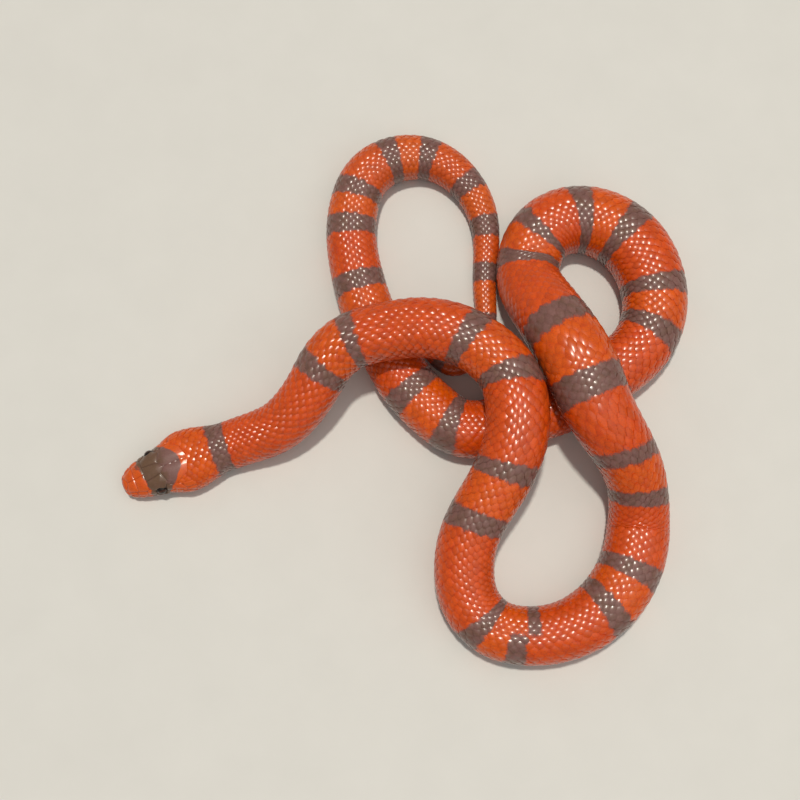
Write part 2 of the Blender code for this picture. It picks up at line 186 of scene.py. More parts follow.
half_turns = np.linspace(pi, 0.0, OUTLINE_POINTS)
half_outline = np.array(outline(half_turns, 0.5, BODY_HEIGHT_RATIO, SIDE_ROUNDNESS))
half_girths = np.concatenate([[0.0], np.cumsum(np.linalg.norm(np.diff(half_outline), axis=0))])
GIRTH_RATIO = half_girths[-1]


def turn_of(share):
    """The turn from the middle of the belly at shares of half the girth from the middle of the back."""
    share = (share + 1) % 2 - 1
    turn = np.interp(np.abs(share), half_girths / GIRTH_RATIO, half_turns)
    return np.where(share >= 0, turn, 2 * pi - turn)


def across_and_up(distance, share, lift=0.0, reach=0.002):
    """Places on the section of the body, lifted off it, in millimetres."""
    half, top, bottom, square = sizes(distance)
    here, left, right = (
        outline(turn_of(share + step), half, top - bottom, square) for step in (0.0, -reach, reach)
    )
    run_across, run_up = right[0] - left[0], right[1] - left[1]
    size = np.maximum(np.hypot(run_across, run_up), 1e-9)
    return here[0] - lift * run_up / size, here[1] + lift * run_across / size + bottom


def lay(distance, across, up, reach=0.1):
    """Places in metres, from millimetres across and up from the line of the belly."""
    slope = (belly_height(distance + reach) - belly_height(distance - reach)) / (2 * reach)
    x, y, ahead_x, ahead_y = (
        np.interp(distance, line_distance, row) for row in (line[0], line[1], line_ahead[0], line_ahead[1])
    )
    steep = np.sqrt(1 + slope ** 2)
    place = np.stack([
        x + ahead_y * across - ahead_x * slope / steep * up,
        y - ahead_x * across - ahead_y * slope / steep * up,
        belly_height(distance) + up / steep,
    ], axis=-1)
    return place * MM


def on_body(distance, share, lift=0.0):
    """Places in metres on the body, or lifted off it."""
    across, up = across_and_up(distance, share, lift)
    return lay(distance, across, up)


def unwrap(distance, share, sheet):
    """Places on the flat unwrap of the skin: the head on its own strip, the body in lengths above it."""
    if sheet == 0:
        start, end, low, high = 0.0, HEAD_LENGTH, 0.0, HEAD_SHEET
    else:
        start, end = (BODY_SHEETS + (BODY_LENGTH,))[sheet - 1:sheet + 1]
        low = HEAD_SHEET + (sheet - 1) * SHEET_HEIGHT
        high = low + SHEET_HEIGHT
    along = SHEET_MARGIN + (1 - 2 * SHEET_MARGIN) * (distance - start) / (end - start)
    up = low + SHEET_MARGIN + (high - low - 2 * SHEET_MARGIN) * (share + 1) / 2
    return along, up


def sheet_of(distance):
    """The number of the unwrap's strip for a distance behind the snout."""
    return int(np.searchsorted(BODY_SHEETS, distance))


def skin_sheet(bm, sheet, start, end, along, around, in_front=1.0, on_top=0.0):
    """Adds one length of the skin as a grid, with its lines closer in front and on top where asked."""
    grid = bmesh.ops.create_grid(bm, x_segments=along, y_segments=around, size=0.5)["verts"]
    flat = bm.loops.layers.uv["OFBake"]
    behind, round_to = bm.verts.layers.float["behind"], bm.verts.layers.float["round"]
    for vert in grid:
        vert[behind] = start + (end - start) * (vert.co.x + 0.5) ** in_front
        vert[round_to] = -2 * vert.co.y * (1 - on_top * (1 - 4 * vert.co.y ** 2))
    for face in {face for vert in grid for face in vert.link_faces}:
        for loop in face.loops:
            loop[flat].uv = unwrap(loop.vert[behind], loop.vert[round_to], sheet)
    distances, shares = (np.array([vert[layer] for vert in grid]) for layer in (behind, round_to))
    for vert, place in zip(grid, on_body(distances, shares)):
        vert.co = place


skin_mesh = bmesh.new()
skin_mesh.loops.layers.uv.new("OFBake")
skin_mesh.verts.layers.float.new("behind")
skin_mesh.verts.layers.float.new("round")
skin_sheet(
    skin_mesh, 0, 0.0, HEAD_LENGTH, HEAD_ALONG, HEAD_AROUND, HEAD_CLOSER_IN_FRONT, HEAD_CLOSER_ON_TOP
)
for number, (start, end) in enumerate(zip(BODY_SHEETS, BODY_SHEETS[1:] + (BODY_LENGTH,)), 1):
    skin_sheet(skin_mesh, number, start, end, round((end - start) / BODY_STEP), BODY_AROUND)
bmesh.ops.remove_doubles(skin_mesh, verts=skin_mesh.verts, dist=SAME_PLACE)
rims = [edge for edge in skin_mesh.edges if edge.is_boundary]
behind, round_to = skin_mesh.verts.layers.float["behind"], skin_mesh.verts.layers.float["round"]
neck_rims = [edge for edge in rims if abs(edge.verts[0][behind] - HEAD_LENGTH) < NECK_JOINT_WITHIN]
joint = bmesh.ops.bridge_loops(skin_mesh, edges=neck_rims)["faces"]
open_ends = [edge for edge in skin_mesh.edges if edge.is_boundary]
closed = bmesh.ops.holes_fill(skin_mesh, edges=open_ends, sides=0)["faces"]
flat = skin_mesh.loops.layers.uv["OFBake"]
for face in joint + closed:
    middle = [vert[round_to] for vert in face.verts if abs(vert[round_to]) < SEAM_FROM]
    for loop in face.loops:
        share = loop.vert[round_to]
        if abs(share) > SEAM_FROM and middle:
            share = abs(share) if middle[0] > 0 else -abs(share)
        loop[flat].uv = unwrap(min(loop.vert[behind], HEAD_LENGTH), share, 0)
bmesh.ops.recalc_face_normals(skin_mesh, faces=skin_mesh.faces)


def finished(bm, name):
    """A new object with its mesh in place, smooth, and riding on the still body."""
    mesh = bpy.data.meshes.new(name)
    bm.to_mesh(mesh)
    bm.free()
    mesh.shade_smooth()
    piece = bpy.data.objects.new(name, mesh)
    bpy.context.scene.collection.objects.link(piece)
    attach(piece, "root")
    return piece


def read_numbers(mesh, name):
    numbers = np.zeros(len(mesh.vertices), np.float32)
    mesh.attributes[name].data.foreach_get("value", numbers)
    return numbers.astype(float)


def write_numbers(mesh, name, numbers):
    attribute = mesh.attributes.new(name, "FLOAT", "POINT")
    attribute.data.foreach_set("value", np.asarray(numbers, np.float32))


# The shields, lips, mouth and nostrils of the head
# Large smooth plates cover the crown and the cheeks, edge to edge with a fine groove between them, and a row
# of lip plates runs along each jaw. All of them are part of the skin, raised on it and slightly crowned.
SHIELD_RISE, SHIELD_CROWN, SHIELD_CROWN_REACH = 0.08, 0.42, 1.30
SHIELD_BEVEL, HALF_GROOVE, GROOVE_SHADE = 0.16, 0.03, 0.1
SHIELD_REACH, SHIELD_EDGE = 0.5, 0.15
# Outlines seen from above, (distance behind the snout, distance from the middle line)
MIDDLE_SHIELDS = (
    ((-0.6, -1.7), (0.9, -1.5), (1.6, 0.0), (0.9, 1.5), (-0.6, 1.7)),
    ((6.4, -1.9), (6.4, 1.9), (8.6, 1.7), (10.6, 1.4), (12.0, 0.0), (10.6, -1.4), (8.6, -1.7)),
)
PAIRED_SHIELDS = (
    ((1.6, 0.0), (0.9, 1.5), (1.1, 2.4), (3.6, 3.1), (3.6, 0.0)),
    ((3.6, 0.0), (3.6, 3.1), (5.2, 3.8), (6.4, 3.5), (6.4, 1.9), (6.4, 0.0)),
    ((6.4, 1.9), (6.4, 3.5), (7.6, 4.2), (10.3, 4.5), (11.5, 3.6), (10.6, 1.4), (8.6, 1.7)),
    ((12.0, 0.0), (10.6, 1.4), (11.5, 3.6), (14.0, 4.7), (17.0, 3.3), (18.0, 0.6), (17.6, 0.0)),
)
# Outlines seen from the side, (distance behind the snout, height)
CHEEK_SHIELDS = (
    ((1.3, 3.75), (1.3, 4.4), (3.1, 4.9), (3.1, 3.75)),
    ((3.1, 3.75), (3.1, 4.9), (5.6, 5.4), (5.6, 3.85)),
    ((5.6, 3.85), (5.6, 5.4), (7.2, 5.7), (7.2, 4.0)),
    ((11.0, 5.4), (11.1, 6.6), (12.7, 6.75), (12.7, 5.6)),
    ((10.9, 4.2), (11.0, 5.4), (12.7, 5.6), (12.7, 4.6)),
    ((12.7, 5.7), (12.7, 6.75), (14.9, 7.0), (15.6, 6.4), (15.2, 5.85)),
    ((12.7, 4.6), (12.7, 5.7), (15.2, 5.85), (15.7, 5.3), (15.1, 5.15)),
    ((14.9, 7.0), (15.6, 6.4), (17.2, 6.5), (17.8, 6.85), (17.5, 7.15)),
    ((15.6, 6.4), (15.2, 5.85), (15.7, 5.3), (17.0, 5.5), (17.7, 6.0), (17.2, 6.5)),
)
MOUTH_LINE = ((-2.0, 2.3), (1.0, 2.2), (4.5, 2.05), (8.0, 2.3), (12.0, 2.9), (16.2, 3.9))
UPPER_LIP_JOINTS = (-1.0, 1.2, 2.9, 4.7, 6.9, 9.2, 11.5, 13.9, 16.4)
LOWER_LIP_JOINTS = (-1.0, 0.8, 2.2, 3.9, 5.7, 7.6, 9.8, 12.2, 14.6)
LIP_HEIGHT = 1.6
MOUTH_DEPTH, MOUTH_HALF_WIDTH, MOUTH_FADES = 0.34, 0.11, (15.0, 16.0)
NOSTRIL_BACK, NOSTRIL_HEIGHT, NOSTRIL_RADIUS, NOSTRIL_DEPTH = 1.75, 3.7, 0.34, 0.5
NOSTRIL_FLOOR, NOSTRIL_SIDE = 0.4, 0.54
EYE_BACK, EYE_OUT, EYE_HEIGHT, EYE_RADIUS = 9.2, 4.45, 5.0, 1.55
SOCKET_DEPTH, SOCKET_INNER, SOCKET_OUTER = 0.55, 1.05, 1.65
SOCKET_RIM, SOCKET_RIM_WIDTH = 0.1, 0.25
CROWN_ABOVE, BESIDE_CROWN, FAR_OUTSIDE = 2.65, 2.65, -9.0
SCALES_FROM, SKIN_DROPS = 11.0, (4.0, 5.0)


def depth_inside(corners, x, y):
    """Distance inside the edge of a flat outline, less than zero outside it."""
    nearest = np.full(x.shape, np.inf)
    inside = np.zeros(x.shape, bool)
    for (x0, y0), (x1, y1) in zip(corners, corners[1:] + corners[:1]):
        run_x, run_y = x1 - x0, y1 - y0
        share = np.clip(((x - x0) * run_x + (y - y0) * run_y) / (run_x ** 2 + run_y ** 2), 0, 1)
        nearest = np.minimum(nearest, np.hypot(x - x0 - share * run_x, y - y0 - share * run_y))
        if y0 != y1:
            inside ^= ((y0 > y) != (y1 > y)) & (x < x0 + (y - y0) / (y1 - y0) * run_x)
    return np.where(inside, nearest, -nearest)


def lip_shields(joints, direction):
    """Lip plates between their joints along the mouth, above it or below it."""
    low, high = sorted((0.0, direction * LIP_HEIGHT))
    plates = []
    for front, rear in zip(joints, joints[1:]):
        at_front, at_rear = np.interp((front, rear), *zip(*MOUTH_LINE))
        lower_edge = (front, at_front + low), (rear, at_rear + low)
        upper_edge = (rear, at_rear + high), (front, at_front + high)
        plates.append(lower_edge + upper_edge)
    return plates


lips = lip_shields(UPPER_LIP_JOINTS, 1) + lip_shields(LOWER_LIP_JOINTS, -1)
side_shields = CHEEK_SHIELDS + tuple(lips)


def shield_depths(distance, across, up):
    """How far inside its shield each place is, and how far from the joint with the next shield."""
    crown = np.where(up > CROWN_ABOVE, 0.0, FAR_OUTSIDE)
    depths = [crown + depth_inside(corners, distance, across) for corners in MIDDLE_SHIELDS]
    for side in (-1, 1):
        depths += [crown + depth_inside(corners, distance, side * across) for corners in PAIRED_SHIELDS]
    depths += [depth_inside(corners, distance, up) for corners in side_shields]
    second, first = np.sort(depths, axis=0)[-2:]
    return first, (first - second) / 2


def head_relief(distance, share):
    """How far the skin of the head stands off its plain form, and how much painted shade each place gets in
    the grooves, the mouth and the nostrils.
    """
    across, up = across_and_up(distance, share)
    inside, from_joint = shield_depths(distance, across, up)
    shielded = ramp(inside, -SHIELD_REACH, SHIELD_EDGE - SHIELD_REACH)
    plate = ramp(from_joint, HALF_GROOVE, HALF_GROOVE + SHIELD_BEVEL)
    crowned = SHIELD_RISE + SHIELD_CROWN * (1 - np.exp(-from_joint / SHIELD_CROWN_REACH))
    bare = -SCALE_DEPTH * ramp(distance, *SKIN_DROPS)
    lift = bare + (crowned * plate - bare) * shielded
    # Painted shade: the colour is darkened in the grooves between the shields, along the mouth and in the
    # nostrils.
    groove = 1 - ramp(from_joint, 0.0, GROOVE_SHADE) * shielded
    to_mouth = np.abs(up - np.interp(distance, *zip(*MOUTH_LINE)))
    mouth = np.exp(-(to_mouth / MOUTH_HALF_WIDTH) ** 2) * (1 - ramp(distance, *MOUTH_FADES))
    to_nostril = np.hypot(distance - NOSTRIL_BACK, up - NOSTRIL_HEIGHT)
    nostril = 1 - ramp(to_nostril, NOSTRIL_FLOOR * NOSTRIL_RADIUS, NOSTRIL_RADIUS)
    nostril = nostril * (np.abs(across) > NOSTRIL_SIDE * sizes(distance)[0])
    to_eye = np.hypot(distance - EYE_BACK, up - EYE_HEIGHT)
    beside = np.abs(across) > BESIDE_CROWN
    socket = 1 - ramp(to_eye, SOCKET_INNER, SOCKET_OUTER)
    rim = np.exp(-((to_eye - SOCKET_OUTER) / SOCKET_RIM_WIDTH) ** 2)
    lift = lift - MOUTH_DEPTH * mouth - NOSTRIL_DEPTH * nostril
    lift = lift + beside * (SOCKET_RIM * rim - (SOCKET_DEPTH + lift) * socket)
    return lift, np.maximum.reduce([groove, mouth, nostril])


skin = finished(skin_mesh, "skin")
skin_behind = read_numbers(skin.data, "behind")
skin_round = read_numbers(skin.data, "round")
on_head = skin_behind < HEAD_LENGTH
relief, head_painted_shades = head_relief(skin_behind[on_head], skin_round[on_head])
lifts = np.full(len(skin_behind), -SCALE_DEPTH)
# Painted shade: the body's skin shows only in the gaps between the scales and is darkened there in full; on
# the head only its grooves, mouth and nostrils are.
creases = np.ones(len(skin_behind))
lifts[on_head] = relief
creases[on_head] = head_painted_shades
normals = np.zeros(len(lifts) * 3, np.float32)
skin.data.vertices.foreach_get("normal", normals)
places = np.zeros(len(lifts) * 3, np.float32)
skin.data.vertices.foreach_get("co", places)
places = places.reshape(-1, 3) + normals.reshape(-1, 3) * lifts[:, None] * MM
places[:, 2] = np.maximum(places[:, 2], 0.0)
skin.data.vertices.foreach_set("co", places.astype(np.float32).ravel())
skin.data.update()
write_numbers(skin.data, "painted_shade", creases)
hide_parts(*[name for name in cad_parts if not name.startswith("eye")])

# The markings
# Narrow mauve-grey bands ring the body in pairs, close a ring of clear orange between them, and leave wide
# lengths of red-orange. A grey cap covers the crown from before the eyes to the nape. The pigment lies in
# skin and scales alike, so one function gives both of them.

# Each band: distance behind the snout along the back, width, how far it leans back for each millimetre to
# the right, and which side it is on (0 for both)
BANDS = (
    (26.8, 4.7, 0.0, 0), (62.2, 4.0, 0.0, 0), (72.4, 2.9, 0.0, 0), (100.6, 4.8, -0.13, 0),
    (115.0, 5.0, -0.22, 0), (137.7, 3.9, 0.1, 0), (151.0, 4.8, 0.15, 0), (179.0, 4.3, 0.0, 0),
    (192.4, 3.4, 0.0, -1), (188.5, 4.0, 0.0, 1), (212.4, 4.7, -0.1, 0), (223.5, 4.5, 0.0, 0),
    (247.0, 3.7, -0.25, 0), (256.9, 2.8, -0.2, 0), (271.5, 7.0, 0.0, 0), (285.8, 4.5, 0.0, 0),
    (306.5, 6.0, -0.4, 0), (318.2, 3.2, -0.15, 0), (331.8, 4.4, 0.15, 0), (343.9, 5.0, 0.0, 0),
    (361.2, 4.4, 0.0, 0), (372.7, 4.6, -0.1, 0), (390.5, 4.4, 0.0, 0), (402.0, 4.4, 0.0, 0),
    (418.0, 3.4, 0.0, 0), (434.0, 4.4, 0.08, 0), (447.0, 4.8, 0.0, 0), (468.5, 3.6, 0.0, 0),
    (479.3, 5.0, 0.0, 0), (495.2, 5.0, 0.0, 0), (505.4, 4.4, 0.0, 0), (519.3, 4.4, 0.0, 0),
    (529.5, 4.4, 0.0, 0), (543.3, 4.6, 0.0, 0), (556.0, 5.5, 0.0, 0), (568.8, 5.0, 0.0, 0),
    (582.5, 4.5, 0.0, 0), (594.0, 3.6, 0.0, 0), (603.5, 3.0, 0.0, 0), (611.5, 2.6, 0.0, 0),
)
# Clear orange rings, from one band to the next
RINGS = (
    (0.0, 26.8), (62.2, 72.4), (100.6, 115.0), (137.7, 151.0), (179.0, 190.5), (212.4, 223.5),
    (247.0, 257.1), (271.5, 285.8), (306.5, 318.2), (331.8, 343.9), (361.2, 372.7), (390.5, 402.0),
    (434.0, 447.0), (468.5, 479.3), (495.2, 505.4), (519.3, 529.5), (543.3, 556.0), (568.8, 582.5),
    (594.0, 603.5),
)
BAND_SOFTNESS, RING_SOFTNESS, BAND_LEAN_REACH = 0.55, 0.8, 7.0
SPLIT_SOFTNESS = 0.06
PALE_FROM, PALE_TO, TAIL_PALE, TAIL_PALE_OVER = 0.64, 0.90, 0.25, (485.0, 520.0)
CAP_FRONT, CAP_FRONT_LEAN, CAP_LEAN_LEFT, CAP_LEAN_RIGHT = 6.1, 0.20, -3.5, 2.3
CAP_REAR, CAP_REAR_CURVE, CAP_SOFTNESS = 16.5, 0.145, 0.4
BAND_WANDER, CAP_WANDER = 0.3, 0.35
CAP_UMBER, BAND_UMBER = (9.5, 14.0), 0.25
HEAD_GREYS_TO = 25.0
SNOUT_EDGE, SNOUT_EDGE_DARK, SNOUT_RIM, CHIN_CLEAR = 0.9, 0.45, (2.3, 2.8), (0.2, 1.5)
SNOUT_SPOT, SNOUT_SPOT_SIZES, SNOUT_SPOT_DARK = (5.6, -2.6), (0.3, 1.5), 0.6
ROOT_PIGMENT = 0.2


def wander(distance, share):
    """A small uneven shift of the edges of the markings, in millimetres."""
    along = 0.6 * np.sin(1.9 * distance + 7.0 * share) * np.sin(23.0 * share + 1.0)
    return along + 0.4 * np.sin(41.0 * share + 2.0)


def markings(distance, share):
    """How dark, how clear an orange, how pale and how brown a grey the pigment is, each from 0 to 1."""
    across, up = across_and_up(distance, share)
    arc = share * sizes(distance)[0] * 2 * GIRTH_RATIO
    lean = np.clip(arc, -BAND_LEAN_REACH, BAND_LEAN_REACH)
    shift = wander(distance, share)
    dark = np.zeros(distance.shape)
    for centre, width, slant, side in BANDS:
        off = np.abs(distance - centre - slant * lean + BAND_WANDER * shift) - width / 2
        band = 1 - ramp(off, -BAND_SOFTNESS, BAND_SOFTNESS)
        if side:
            band = band * ramp(side * share, -SPLIT_SOFTNESS, SPLIT_SOFTNESS)
        dark = np.maximum(dark, band)
    clear = np.zeros(distance.shape)
    for start, end in RINGS:
        ring = ramp(distance, start - RING_SOFTNESS, start + RING_SOFTNESS)
        ring = ring * (1 - ramp(distance, end - RING_SOFTNESS, end + RING_SOFTNESS))
        clear = np.maximum(clear, ring)
    cap_lean = CAP_FRONT_LEAN * np.clip(across, CAP_LEAN_LEFT, CAP_LEAN_RIGHT)
    cap_front = CAP_FRONT + cap_lean + CAP_WANDER * shift
    cap_rear = CAP_REAR - CAP_REAR_CURVE * across ** 2 - CAP_WANDER * shift
    cap = ramp(distance, cap_front - CAP_SOFTNESS, cap_front + CAP_SOFTNESS)
    cap = cap * (1 - ramp(distance, cap_rear - CAP_SOFTNESS, cap_rear + CAP_SOFTNESS))
    spot = np.hypot(distance - SNOUT_SPOT[0], across - SNOUT_SPOT[1])
    cap = np.maximum(cap, SNOUT_SPOT_DARK * (1 - ramp(spot, *SNOUT_SPOT_SIZES)))
    cap = np.maximum(cap, SNOUT_EDGE_DARK * (1 - ramp(distance, 0.0, SNOUT_EDGE)) * ramp(up, *SNOUT_RIM))
    cap = cap * ramp(up, *CHIN_CLEAR)
    tail_pale = TAIL_PALE * ramp(distance, *TAIL_PALE_OVER)
    pale = np.maximum(ramp(np.abs(share), PALE_FROM, PALE_TO), tail_pale)
    umber = np.where(distance < HEAD_GREYS_TO, 1 - ramp(distance, *CAP_UMBER), BAND_UMBER)
    return np.maximum(dark, cap), clear, pale, umber


def mark(mesh, distance, share):
    for name, numbers in zip(("dark", "clear", "pale", "umber"), markings(distance, share)):
        write_numbers(mesh, name, numbers)


mark(skin.data, skin_behind, skin_round)
write_numbers(skin.data, "tone", np.full(len(skin_behind), 0.5))

BLOTCHES_TO_METRE, GRAINS_TO_METRE, PALE_SHARE, TONES = 420.0, 2600.0, 0.75, (0.88, 1.12)
RED_ORANGE = (0.68, 0.080, 0.002, 1.0)
CLEAR_ORANGE = (0.72, 0.100, 0.001, 1.0)
DEEP_RED = (0.58, 0.040, 0.005, 1.0)
ROSE = (0.37, 0.058, 0.042, 1.0)
MAUVE_GREY = (0.215, 0.104, 0.092, 1.0)
UMBER_GREY = (0.145, 0.078, 0.044, 1.0)
PALE_ORANGE = (0.60, 0.18, 0.045, 1.0)
DARK_GRAIN = (0.02, 0.005, 0.003, 1.0)
# Where a noise or a marking begins and ends to count, and the shares that it then gives
NOISE_MIDDLE = (0.3, 0.7)
BLOTCH_REDS, BLOTCH_UMBERS = (0.45, 0.75, 0.0, 0.45), (0.35, 0.65, -0.25, 0.25)
GRAIN_EDGES, GRAIN_DARKS = (0.3, 0.7, -0.22, 0.22), (0.35, 0.75, 0.0, 0.22)
ROSE_EDGE, GREY_EDGE = (0.05, 0.6, 0.0, 0.8), (0.2, 0.85)
COAT_ROUGHNESS, BUMP_DETAIL = 0.22, 2.0


class Finish:
    """A material of nodes, built by small calls that each return the socket with the result."""

    def __init__(self, name):
        self.material = bpy.data.materials.new(name)
        self.material.use_nodes = True
        self.tree = self.material.node_tree
        self.shader = self.tree.nodes["Principled BSDF"]

    def put(self, socket, value):
        if isinstance(value, bpy.types.NodeSocket):
            self.tree.links.new(value, socket)
        else:
            socket.default_value = value

    def number(self, name):
        node = self.tree.nodes.new("ShaderNodeAttribute")
        node.attribute_name = name
        return node.outputs["Fac"]

    def noise(self, scale, detail=3.0, rough=0.6):
        place = self.tree.nodes.new("ShaderNodeTexCoord")
        node = self.tree.nodes.new("ShaderNodeTexNoise")
        self.put(node.inputs["Vector"], place.outputs["Object"])
        self.put(node.inputs["Scale"], scale)
        self.put(node.inputs["Detail"], detail)
        self.put(node.inputs["Roughness"], rough)
        return node.outputs["Fac"]

    def spread(self, value, low, high, to_low=0.0, to_high=1.0):
        node = self.tree.nodes.new("ShaderNodeMapRange")
        node.interpolation_type = "SMOOTHSTEP"
        names = "Value", "From Min", "From Max", "To Min", "To Max"
        for name, number in zip(names, (value, low, high, to_low, to_high)):
            self.put(node.inputs[name], number)
        return node.outputs["Result"]

    def combine(self, a, b, way="ADD"):
        node = self.tree.nodes.new("ShaderNodeMath")
        node.operation = way
        self.put(node.inputs[0], a)
        self.put(node.inputs[1], b)
        return node.outputs[0]

    def mix(self, share, a, b, way="MIX"):
        node = self.tree.nodes.new("ShaderNodeMix")
        node.data_type = "RGBA"
        node.blend_type = way
        self.put(node.inputs["Factor"], share)
        self.put(node.inputs["A"], a)
        self.put(node.inputs["B"], b)
        return node.outputs["Result"]

    def bump(self, height, distance, strength=1.0):
        node = self.tree.nodes.new("ShaderNodeBump")
        self.put(node.inputs["Height"], height)
        node.inputs["Distance"].default_value = distance
        node.inputs["Strength"].default_value = strength
        self.put(self.shader.inputs["Normal"], node.outputs["Normal"])


def pigment(finish, crease_shade):
    """The colour of skin and scales: orange pigments, grey bands with a rosy edge, and painted shade in the
    creases.
    """
    blotch = finish.noise(BLOTCHES_TO_METRE)
    grain = finish.noise(GRAINS_TO_METRE, 4.0, 0.7)
    orange = finish.mix(finish.number("clear"), RED_ORANGE, CLEAR_ORANGE)
    orange = finish.mix(finish.spread(blotch, *BLOTCH_REDS), orange, DEEP_RED)
    orange = finish.mix(finish.combine(finish.number("pale"), PALE_SHARE, "MULTIPLY"), orange, PALE_ORANGE)
    umber = finish.combine(finish.number("umber"), finish.spread(blotch, *BLOTCH_UMBERS))
    grey = finish.mix(finish.spread(umber, 0.0, 1.0), MAUVE_GREY, UMBER_GREY)
    uneven = finish.combine(finish.number("dark"), finish.spread(grain, *GRAIN_EDGES))
    colour = finish.mix(finish.spread(uneven, *ROSE_EDGE), orange, ROSE)
    colour = finish.mix(finish.spread(uneven, *GREY_EDGE), colour, grey)
    toned = finish.spread(finish.number("tone"), 0.0, 1.0, *TONES)
    colour = finish.mix(1.0, colour, toned, "MULTIPLY")
    colour = finish.mix(finish.spread(grain, *GRAIN_DARKS), colour, DARK_GRAIN)
    # Painted shade: the crease mask multiplies the colour by a darker shade in grooves, gaps and along rims.
    return finish.mix(finish.number("painted_shade"), colour, finish.mix(1.0, colour, crease_shade, "MULTIPLY"))


def glossy(name, crease_shade, wear_to_metre, roughness, specular, coat, bumps):
    """The material of the skin or the scales: pigment, a clear coat over it, and fine bumps."""
    finish = Finish(name)
    finish.put(finish.shader.inputs["Base Color"], pigment(finish, crease_shade))
    wear = finish.spread(finish.noise(wear_to_metre), *NOISE_MIDDLE, *roughness)
    finish.put(finish.shader.inputs["Roughness"], wear)
    finish.shader.inputs["Specular IOR Level"].default_value = specular
    finish.shader.inputs["Coat Weight"].default_value = coat
    finish.shader.inputs["Coat Roughness"].default_value = COAT_ROUGHNESS
    bumps_to_metre, bump_height, bump_strength = bumps
    finish.bump(finish.noise(bumps_to_metre, BUMP_DETAIL), bump_height, bump_strength)
    return finish.material


# The skin's crease colour is painted shade for its grooves, mouth, nostrils and the gaps between the scales.
SKIN_CREASE_SHADE, SKIN_WEAR_TO_METRE, SKIN_ROUGHNESS = (0.58, 0.46, 0.46, 1.0), 1500.0, (0.34, 0.44)
SKIN_SPECULAR, SKIN_COAT, SKIN_BUMPS = 0.22, 0.9, (5200.0, 0.00003, 0.5)
skin.data.materials.append(glossy(
    "skin_finish", SKIN_CREASE_SHADE, SKIN_WEAR_TO_METRE, SKIN_ROUGHNESS,
    SKIN_SPECULAR, SKIN_COAT, SKIN_BUMPS,
))

# The scales of the back and sides
# Smooth horny scales in slanting rows, twenty-one round the body and fewer towards the tip of the tail. Each
# is a crowned lozenge, rooted at its front edge, and lies over the ones behind it. Along the top of the neck,
# where the arch climbs, they are crowned more steeply.

# How far apart the scales of a row are, and how many rows there are, at distances behind the snout
PITCHES = (
    (12, 1.6), (30, 2.1), (45, 2.4), (125, 2.4), (165, 2.1), (200, 2.25), (300, 2.1), (325, 1.9),
    (354, 2.1), (380, 2.3), (425, 1.9), (488, 2.0), (512, 1.85), (530, 1.8), (580, 1.6), (616, 1.1),
)
ROWS = ((505, 21), (530, 17), (560, 13), (590, 9), (616, 6))
BACK_SHARE, EVEN_ROWS, ROWS_BESIDE_MIDDLE = 0.76, 0.75, 10
SCALE_HALF_LENGTH, SCALE_HALF_WIDTH, SCALE_CELLS = 0.80, 0.86, 5
SCALE_ROOT, SCALE_TIP, SCALE_SUNK = -0.36, -0.09, -0.42
SCALE_CROWN, CROWN_PLACE, CROWN_REACH = 0.27, 0.32, 0.76
NECK_CROWN, NECK_CROWN_PLACE, NECK_CROWN_REACH = 0.49, 0.22, 0.64
NECK_CROWN_BEGINS, NECK_CROWN_ENDS, NECK_CROWN_ROWS = (27.0, 36.0), (80.0, 98.0), (4.0, 8.0)
FRONT_POINT, REAR_POINT = 1.35, 1.38
THIN_BODY, THINNEST_SCALE = 9.0, 0.3
SCALE_PATCH, WALL_PATCH = 0.003, 1.15
SCALES_TO, UNDER_SHIELDS = 613.5, 0.15
TONE_SPREAD, TILT_SPREAD, ROLL_SPREAD = 0.2, 0.03, 0.05
# Painted shade on the scales: their sunk walls are darkened in full, and their rims darker towards the edge,
# partly their own colour and partly painted shade.
RIM_FROM, RIM_SHADE = 0.55, 0.8
SCALE_CREASE_SHADE, SCALE_WEAR_TO_METRE, SCALE_ROUGHNESS = (0.84, 0.74, 0.70, 1.0), 900.0, (0.35, 0.45)
SCALE_SPECULAR, SCALE_COAT, SCALE_BUMPS = 0.2, 0.78, (4200.0, 0.00002, 0.4)
scale_chance = np.random.default_rng(8)


def tile(cells_along, cells_around, lozenge):
    """One scale or plate laid flat: its points, which are the foot of its wall or its rim, and its faces."""
    bm = bmesh.new()
    bmesh.ops.create_grid(bm, x_segments=cells_along, y_segments=cells_around, size=1.0)
    rim = [edge for edge in bm.edges if edge.is_boundary]
    grown = bmesh.ops.extrude_edge_only(bm, edges=rim)["geom"]
    foot = {item for item in grown if isinstance(item, bmesh.types.BMVert)}
    bm.verts.index_update()
    flat = np.array([vert.co[:2] for vert in bm.verts])
    is_foot = np.array([vert in foot for vert in bm.verts])
    is_rim = np.array([any(edge in rim for edge in vert.link_edges) for vert in bm.verts])
    faces = [[vert.index for vert in face.verts] for face in bm.faces]
    bm.free()
    if not lozenge:
        return flat[:, 0], flat[:, 1], is_foot, is_rim, faces
    along = (flat[:, 0] + flat[:, 1]) / 2
    across = (flat[:, 0] - flat[:, 1]) / 2
    point = np.where(along < 0, FRONT_POINT, REAR_POINT)
    size = np.abs(along) + np.abs(across)
    bent = (np.abs(along) ** point + np.abs(across) ** point) ** (1 / point)
    rounder = np.where(size > 0, size / np.maximum(bent, 1e-9), 1.0)
    return along * rounder, across * rounder, is_foot, is_rim, faces


